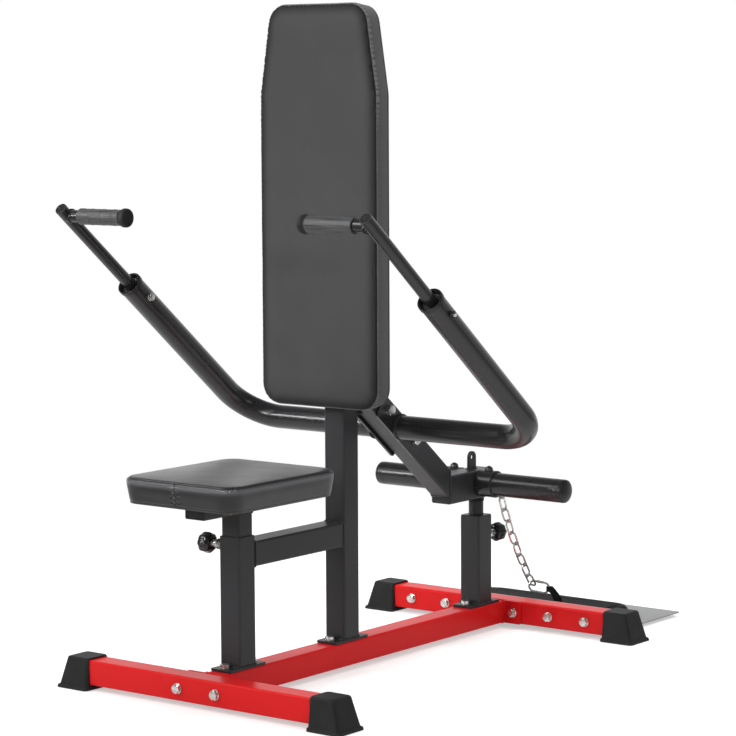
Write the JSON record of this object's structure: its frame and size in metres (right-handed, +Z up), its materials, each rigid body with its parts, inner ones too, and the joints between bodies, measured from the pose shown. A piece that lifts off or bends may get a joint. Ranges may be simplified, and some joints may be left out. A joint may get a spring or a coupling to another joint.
{
  "type": "seated dip machine",
  "caption": "Plate-loaded seated dip machine with a sloping lever, bent-tube yoke and handles, sliding seat, upright back pad, foot platform and belt on a chain.",
  "frame": {"origin": "on the floor, under the middle of the overall length and width", "axes": "+Z up; -Y the way the seated user faces; +Y towards the weights and the foot platform; +X to the seated user's left"},
  "size_m": [0.8294, 1.39, 1.347],
  "materials": {
    "red_coat": "semi-gloss powder coat",
    "black_coat": "semi-matte powder coat",
    "grey_coat": "satin coated sheet",
    "zinc": "bright zinc plate",
    "bronze": "plain bronze bush",
    "plastic": "matt black moulding",
    "rubber": "matt black rubber",
    "vinyl": "grained vinyl cover over foam",
    "board": "plain plywood",
    "webbing": "woven webbing over foam"
  },
  "bodies": {
    "frame": {"front_crossbeam": "red_coat", "rear_crossbeam": "red_coat", "main_beam": "red_coat", "front_left_end_cap": "rubber", "front_right_end_cap": "rubber", "rear_left_end_cap": "rubber", "rear_right_end_cap": "rubber", "front_flange_bolt_left": "zinc", "front_flange_bolt_right": "zinc", "rear_flange_bolt_left": "zinc", "rear_flange_bolt_right": "zinc", "foot_platform": "grey_coat", "platform_bolt_1": "zinc", "platform_bolt_2": "zinc", "platform_bolt_3": "zinc", "platform_bolt_4": "zinc", "seat_sleeve": "black_coat", "brace_tube": "black_coat", "back_upright": "black_coat", "rear_post": "black_coat", "seat_foot_bolt_front": "zinc", "seat_foot_bolt_rear": "zinc", "back_foot_bolt_front": "zinc", "back_foot_bolt_rear": "zinc", "rear_foot_bolt_front": "zinc", "rear_foot_bolt_rear": "zinc", "seat_pin_housing": "zinc", "rear_pin_housing": "zinc", "back_pad": "vinyl", "back_board": "board", "back_pad_bolt_lower": "zinc", "back_pad_bolt_upper": "zinc", "pivot_bolt": "zinc"},
    "lever": {"lever": "black_coat", "pivot_bush": "bronze", "weight_sleeve": "black_coat", "left_sleeve_cap": "plastic", "right_sleeve_cap": "plastic", "left_yoke": "black_coat", "right_yoke": "black_coat", "yoke_bolt_upper": "zinc", "yoke_bolt_lower": "zinc", "left_handle_bush": "plastic", "right_handle_bush": "plastic", "left_handle": "black_coat", "right_handle": "black_coat", "left_grip": "rubber", "right_grip": "rubber", "left_handle_bolt": "zinc", "right_handle_bolt": "zinc"},
    "seat": {"seat_post": "black_coat", "seat_board": "board", "seat_pad": "vinyl"},
    "seat_pull_pin": {"seat_pin": "plastic"},
    "rest": {"rest_post": "black_coat", "rest_bumper": "rubber"},
    "rear_pull_pin": {"rear_pin": "plastic"},
    "belt_line": {"chain": "zinc", "snap_hook": "zinc", "belt": "webbing"}
  },
  "joints": [
    {"name": "lever_hinge", "type": "hinge", "parent": "frame", "child": "lever", "pos_m": [0, -0.116, 0.563], "axis": [1, 0, 0], "range_deg": [0, 45]},
    {"name": "seat_slide", "type": "slide", "parent": "frame", "child": "seat", "axis": [0, 0, 1], "range_m": [-0.025, 0.1]},
    {"name": "seat_pin_pull", "type": "slide", "parent": "frame", "child": "seat_pull_pin", "axis": [-1, 0, 0], "range_m": [0, 0.012], "stiffness_N_per_m": 600, "springref_m": -0.008},
    {"name": "rest_slide", "type": "slide", "parent": "frame", "child": "rest", "axis": [0, 0, 1], "range_m": [-0.02, 0]},
    {"name": "rear_pin_pull", "type": "slide", "parent": "frame", "child": "rear_pull_pin", "axis": [0, 1, 0], "range_m": [0, 0.012], "stiffness_N_per_m": 600, "springref_m": -0.008},
    {"name": "chain_hinge", "type": "hinge", "parent": "lever", "child": "belt_line", "pos_m": [0, 0.372, 0.315], "axis": [1, 0, 0], "range_deg": [0, 60]}
  ]
}
